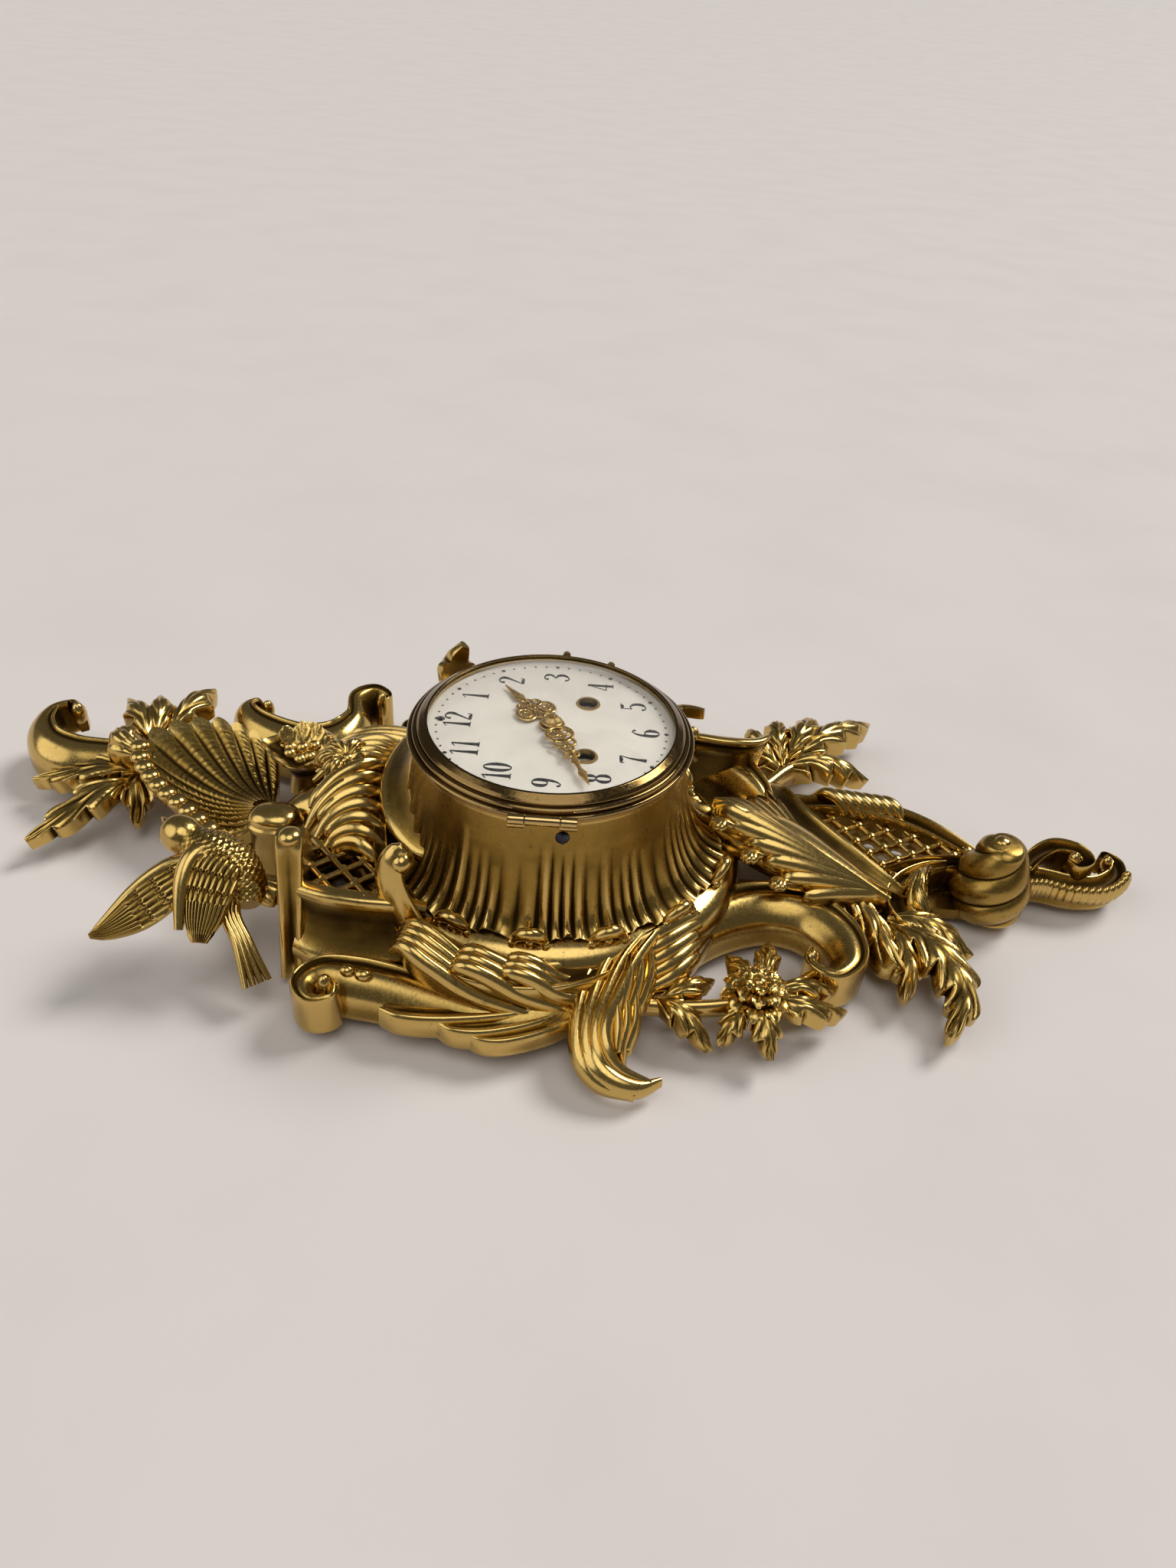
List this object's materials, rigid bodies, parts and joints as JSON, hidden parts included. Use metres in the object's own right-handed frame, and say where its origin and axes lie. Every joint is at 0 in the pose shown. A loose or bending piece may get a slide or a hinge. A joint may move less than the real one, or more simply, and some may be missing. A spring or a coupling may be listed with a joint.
{
  "type": "cartel wall clock",
  "caption": "Gilt bronze rococo cartel wall clock: fluted bowl case with scroll, shell, leaf and bird ornament, hinged glazed bezel, white dial and striking spring movement.",
  "frame": {"origin": "on the dial's axis, in the plane of the rear cover that lies against the wall", "axes": "+Z is the way the dial faces, +X runs down to 6 o'clock, +Y runs to 3 o'clock"},
  "size_m": [0.4982, 0.2385, 0.0928],
  "materials": {
    "gilt": "mercury-gilt bronze, burnished on the ridges, brown in the recesses",
    "old_brass": "dark worn gilding",
    "bright_brass": "polished brass",
    "steel": "fine grained steel",
    "blue_steel": "dark blued steel",
    "enamel": "white enamel with painted black numerals",
    "glass": "clear convex glass"
  },
  "bodies": {
    "case": {"case_bowl": "gilt", "back_bars": "gilt", "rear_cover": "old_brass", "case_screws": "blue_steel", "case_ring": "old_brass", "dial": "enamel", "winding_collars": "bright_brass", "hinge_leaf": "old_brass", "hinge_pin": "steel", "front_plate": "bright_brass", "back_plate": "bright_brass", "pillars": "bright_brass", "movement_straps": "steel", "suspension_cock": "bright_brass", "bell": "bright_brass", "bell_stand": "steel", "crest_shell": "gilt", "crest_scroll": "gilt", "crest_pedestal": "gilt", "upper_right_scroll": "gilt", "bird": "gilt", "bird_perch": "gilt", "left_console": "gilt", "left_acanthus_scroll": "gilt", "foot_leaf": "gilt", "lower_left_scroll": "gilt", "lower_acanthus": "gilt", "flower_spray": "gilt", "lower_fan": "gilt", "lower_trellis": "gilt", "pendant_boss": "gilt", "tail_tendril": "gilt", "right_console": "gilt", "right_leaf_spray": "gilt", "right_acanthus_scroll": "gilt"},
    "door": {"bezel_door": "old_brass", "glass": "glass", "glass_ring": "bright_brass"},
    "minute": {"cannon_pinion": "steel", "minute_hand": "bright_brass", "hand_collet": "bright_brass"},
    "minute_work": {"minute_wheel": "bright_brass"},
    "hour": {"hour_wheel": "bright_brass", "hour_hand": "bright_brass"},
    "going_barrel": {"going_barrel": "bright_brass"},
    "going_winder": {"going_winder": "steel"},
    "going_click": {"going_click": "steel"},
    "strike_barrel": {"strike_barrel": "bright_brass"},
    "strike_winder": {"strike_winder": "steel"},
    "strike_click": {"strike_click": "steel"},
    "intermediate": {"intermediate_wheel": "bright_brass"},
    "centre": {"centre_wheel": "bright_brass"},
    "third": {"third_wheel": "bright_brass"},
    "escape": {"escape_wheel": "bright_brass"},
    "anchor": {"pallet_anchor": "steel"},
    "pendulum": {"pendulum": "steel"},
    "regulator": {"regulator_arbor": "blue_steel"},
    "strike_second": {"strike_wheel": "bright_brass"},
    "fly": {"fly": "bright_brass"},
    "hammer": {"hammer": "steel"}
  },
  "joints": [
    {"name": "door_hinge", "type": "hinge", "parent": "case", "child": "door", "pos_m": [0, -0.0554, 0.0814], "axis": [1, 0, 0], "range_deg": [0, 110]},
    {"name": "minute_turn", "type": "hinge", "parent": "case", "child": "minute", "pos_m": [0, 0, 0.08], "axis": [0, 0, -1], "continuous": true},
    {"name": "minute_work_turn", "type": "hinge", "parent": "case", "child": "minute_work", "pos_m": [-0.0054, -0.00935, 0.078], "axis": [0, 0, -1], "continuous": true},
    {"name": "hour_turn", "type": "hinge", "parent": "case", "child": "hour", "pos_m": [0, 0, 0.08], "axis": [0, 0, -1], "continuous": true},
    {"name": "escape_turn", "type": "hinge", "parent": "case", "child": "escape", "pos_m": [-0.02184, 0, 0.056], "axis": [0, 0, 1], "continuous": true},
    {"name": "third_turn", "type": "hinge", "parent": "case", "child": "third", "pos_m": [-0.01137, 0, 0.056], "axis": [0, 0, 1], "continuous": true},
    {"name": "centre_turn", "type": "hinge", "parent": "case", "child": "centre", "pos_m": [0, 0, 0.056], "axis": [0, 0, 1], "continuous": true},
    {"name": "intermediate_turn", "type": "hinge", "parent": "case", "child": "intermediate", "pos_m": [-0.00513, 0.01151, 0.056], "axis": [0, 0, 1], "continuous": true},
    {"name": "going_barrel_turn", "type": "hinge", "parent": "case", "child": "going_barrel", "pos_m": [0.0132, 0.0178, 0.05], "axis": [0, 0, 1], "continuous": true},
    {"name": "strike_turn", "type": "hinge", "parent": "case", "child": "strike_second", "pos_m": [-0.00513, -0.01151, 0.056], "axis": [0, 0, 1], "continuous": true},
    {"name": "strike_barrel_turn", "type": "hinge", "parent": "case", "child": "strike_barrel", "pos_m": [0.0132, -0.0178, 0.05], "axis": [0, 0, 1], "continuous": true},
    {"name": "fly_turn", "type": "hinge", "parent": "case", "child": "fly", "pos_m": [-0.01501, -0.01843, 0.056], "axis": [0, 0, 1], "continuous": true},
    {"name": "pendulum_swing", "type": "hinge", "parent": "case", "child": "pendulum", "pos_m": [-0.03484, 0, 0.0255], "axis": [0, 0, 1], "range_deg": [-3, 3]},
    {"name": "anchor_swing", "type": "hinge", "parent": "case", "child": "anchor", "pos_m": [-0.03484, 0, 0.05], "axis": [0, 0, 1], "range_deg": [-3, 3]},
    {"name": "hammer_lift", "type": "hinge", "parent": "case", "child": "hammer", "pos_m": [0.03, -0.022, 0.025], "axis": [0, 0, 1], "range_deg": [0, 14], "stiffness_Nm_per_rad": 0.02},
    {"name": "going_wind", "type": "hinge", "parent": "case", "child": "going_winder", "pos_m": [0.0132, 0.0178, 0.06], "axis": [0, 0, 1], "range_deg": [0, 1440]},
    {"name": "strike_wind", "type": "hinge", "parent": "case", "child": "strike_winder", "pos_m": [0.0132, -0.0178, 0.06], "axis": [0, 0, -1], "range_deg": [0, 1440]},
    {"name": "going_click_lift", "type": "hinge", "parent": "case", "child": "going_click", "pos_m": [0.02196, 0.02394, 0.077], "axis": [0, 0, -1], "range_deg": [0, 15]},
    {"name": "strike_click_lift", "type": "hinge", "parent": "case", "child": "strike_click", "pos_m": [0.02196, -0.02394, 0.077], "axis": [0, 0, 1], "range_deg": [0, 15]},
    {"name": "regulator_turn", "type": "hinge", "parent": "case", "child": "regulator", "pos_m": [-0.042, 0, 0.055], "axis": [0, 0, 1], "range_deg": [-720, 720]}
  ],
  "couplings": [
    {"joint": "minute_work_turn", "follows": "minute_turn", "ratio": -0.33333},
    {"joint": "hour_turn", "follows": "minute_turn", "ratio": 0.083333},
    {"joint": "third_turn", "follows": "escape_turn", "ratio": -0.083333},
    {"joint": "centre_turn", "follows": "escape_turn", "ratio": 0.0069444},
    {"joint": "intermediate_turn", "follows": "escape_turn", "ratio": -0.0011574},
    {"joint": "going_barrel_turn", "follows": "escape_turn", "ratio": 0.00015432},
    {"joint": "strike_barrel_turn", "follows": "strike_turn", "ratio": -0.13333},
    {"joint": "fly_turn", "follows": "strike_turn", "ratio": -8.5714},
    {"joint": "anchor_swing", "follows": "pendulum_swing", "ratio": 1}
  ]
}
